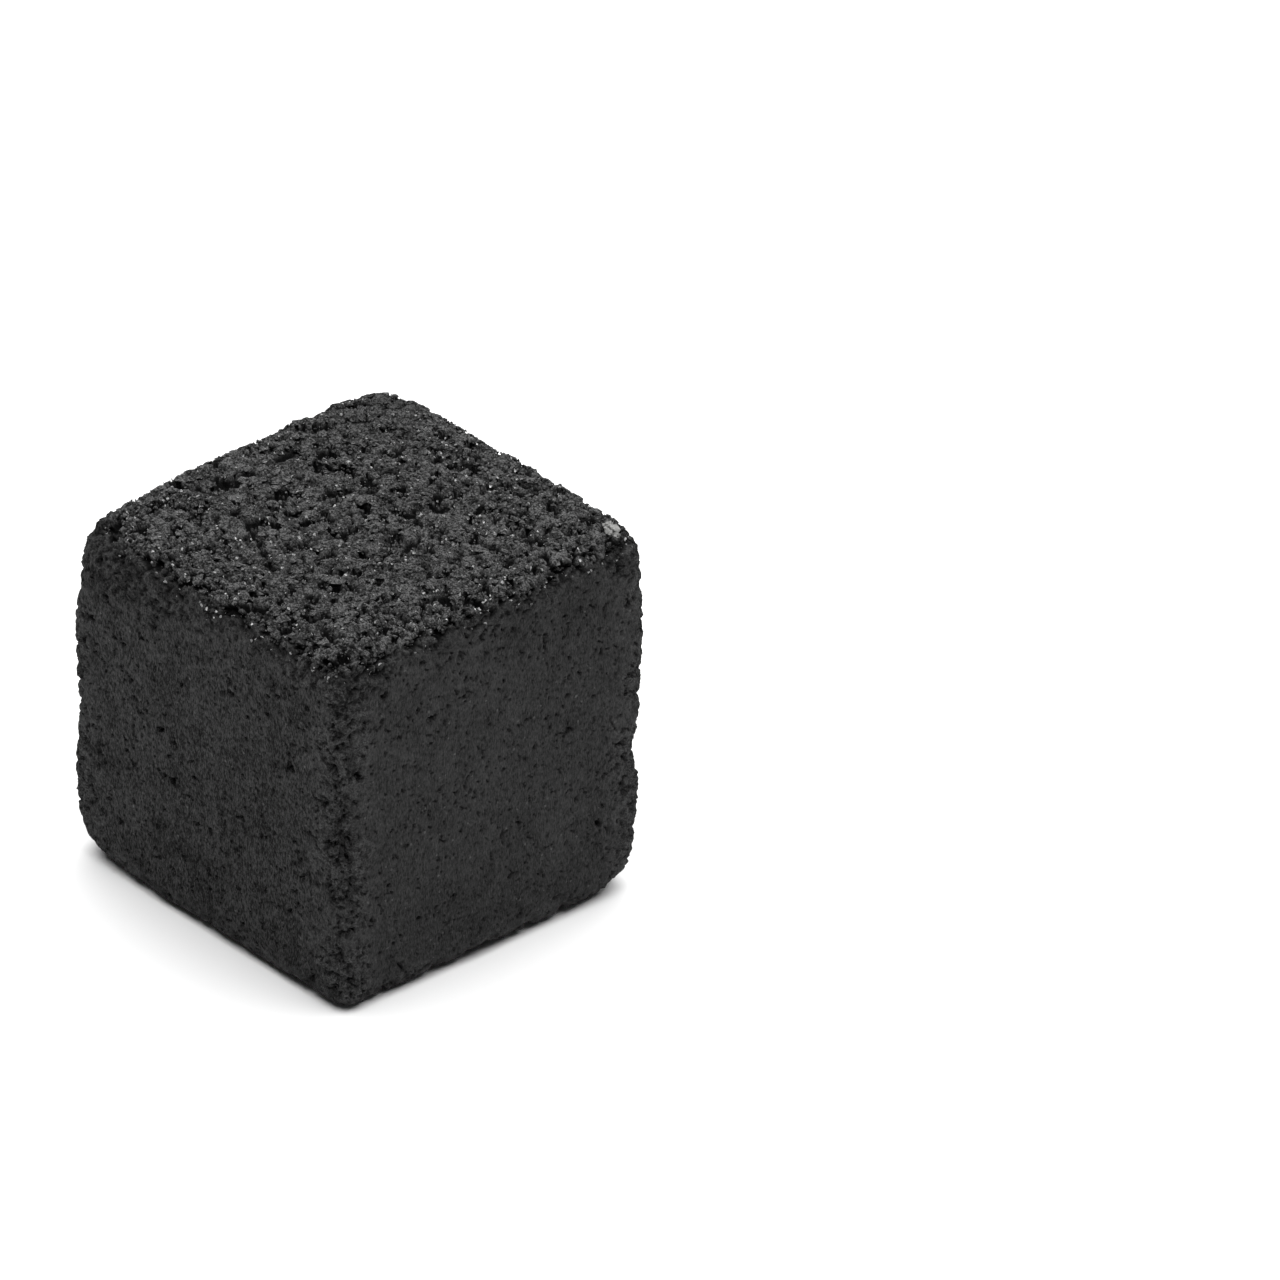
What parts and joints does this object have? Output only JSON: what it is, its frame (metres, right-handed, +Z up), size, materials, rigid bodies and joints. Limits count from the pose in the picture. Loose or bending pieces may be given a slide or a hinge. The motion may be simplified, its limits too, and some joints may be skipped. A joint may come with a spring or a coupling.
{
  "type": "charcoal cube",
  "caption": "Pressed charcoal cube with rounded, crumbly edges and a rough top; a small block of fuel that glows and burns slowly.",
  "frame": {"origin": "middle of the flat foot that the cube stands on", "axes": "+Z up, out of the rough top; +X across the slightly wider foot; -Y and +X are the two upright faces seen beside the top"},
  "size_m": [0.0254, 0.0248, 0.0251],
  "materials": {
    "charcoal": "matte"
  },
  "bodies": {
    "root": {"charcoal_cube": "charcoal"}
  },
  "joints": []
}
